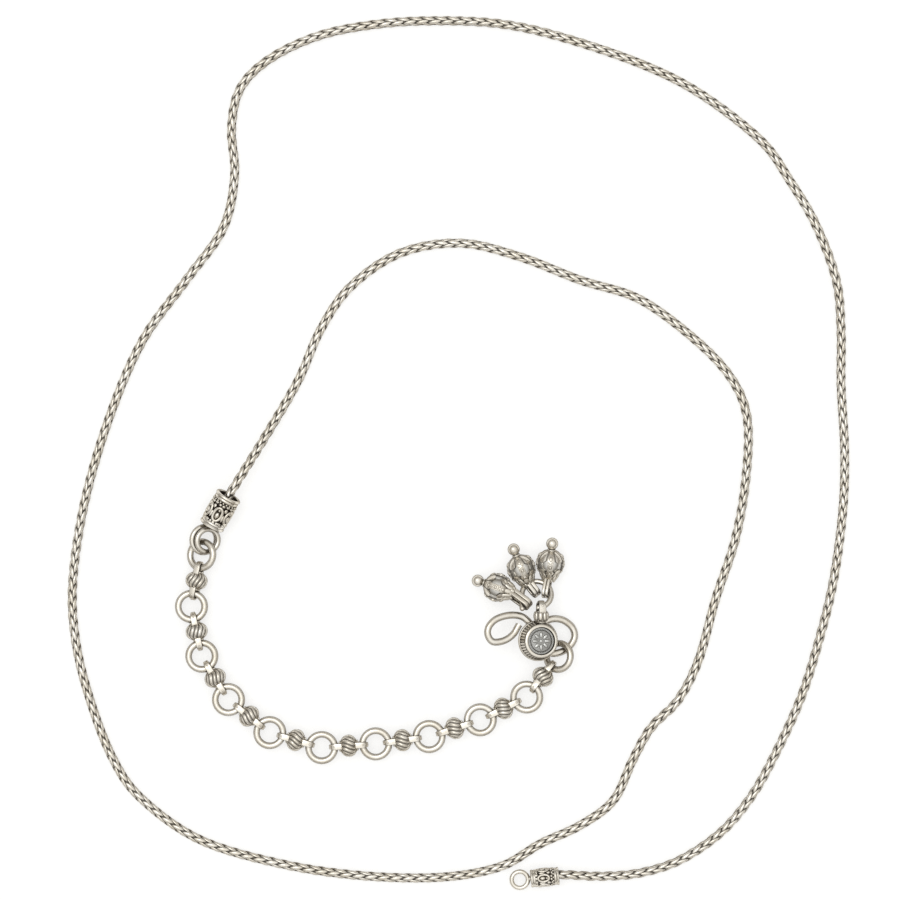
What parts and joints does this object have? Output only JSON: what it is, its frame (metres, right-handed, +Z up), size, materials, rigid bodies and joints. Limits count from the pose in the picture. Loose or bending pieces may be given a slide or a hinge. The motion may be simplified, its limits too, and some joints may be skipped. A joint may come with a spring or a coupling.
{
  "type": "silver waist chain",
  "caption": "Woven silver waist chain lying in an open spiral, with end caps, an extension of rings and fluted beads, and an S hook clasp with a drum and bud drops.",
  "frame": {"origin": "centre of the bounding box in plan, on the surface that the chain lies on", "axes": "+Z up from that surface, +Y up the picture of the laid-out chain, +X to its right"},
  "size_m": [0.1777, 0.1986, 0.0079],
  "materials": {
    "woven_chain": "worn silver, darkened between the links; brushed_steel stands in for silver",
    "end_caps": "cast silver with blackened recesses; brushed_steel stands in for silver",
    "link_rings": "smooth soft-polished silver; brushed_steel stands in for silver",
    "fluted_beads": "polished flutes with darkened grooves; brushed_steel stands in for silver",
    "hook_and_drum": "smooth wire and a milled drum with darkened grooves; brushed_steel stands in for silver",
    "medallion": "grey oxidised silver with a raised rosette; brushed_steel stands in for silver",
    "drop_ring": "smooth soft-polished silver; brushed_steel stands in for silver",
    "bud_drops": "bright raised petals over a grey oxidised core; brushed_steel stands in for silver"
  },
  "bodies": {
    "root": {"chain_outer_run": "woven_chain", "chain_inner_run": "woven_chain", "small_end_cap": "end_caps", "big_end_cap": "end_caps", "link_ring_01": "link_rings", "link_ring_02": "link_rings", "link_ring_03": "link_rings", "link_ring_04": "link_rings", "link_ring_05": "link_rings", "link_ring_06": "link_rings", "link_ring_07": "link_rings", "link_ring_08": "link_rings", "link_ring_09": "link_rings", "link_ring_10": "link_rings", "link_ring_11": "link_rings", "fluted_bead_01": "fluted_beads", "fluted_bead_02": "fluted_beads", "fluted_bead_03": "fluted_beads", "fluted_bead_04": "fluted_beads", "fluted_bead_05": "fluted_beads", "fluted_bead_06": "fluted_beads", "fluted_bead_07": "fluted_beads", "fluted_bead_08": "fluted_beads", "fluted_bead_09": "fluted_beads", "fluted_bead_10": "fluted_beads", "hook_drum": "hook_and_drum", "medallion": "medallion", "drop_ring": "drop_ring", "bud_drop_left": "bud_drops", "bud_drop_middle": "bud_drops", "bud_drop_right": "bud_drops"}
  },
  "joints": []
}
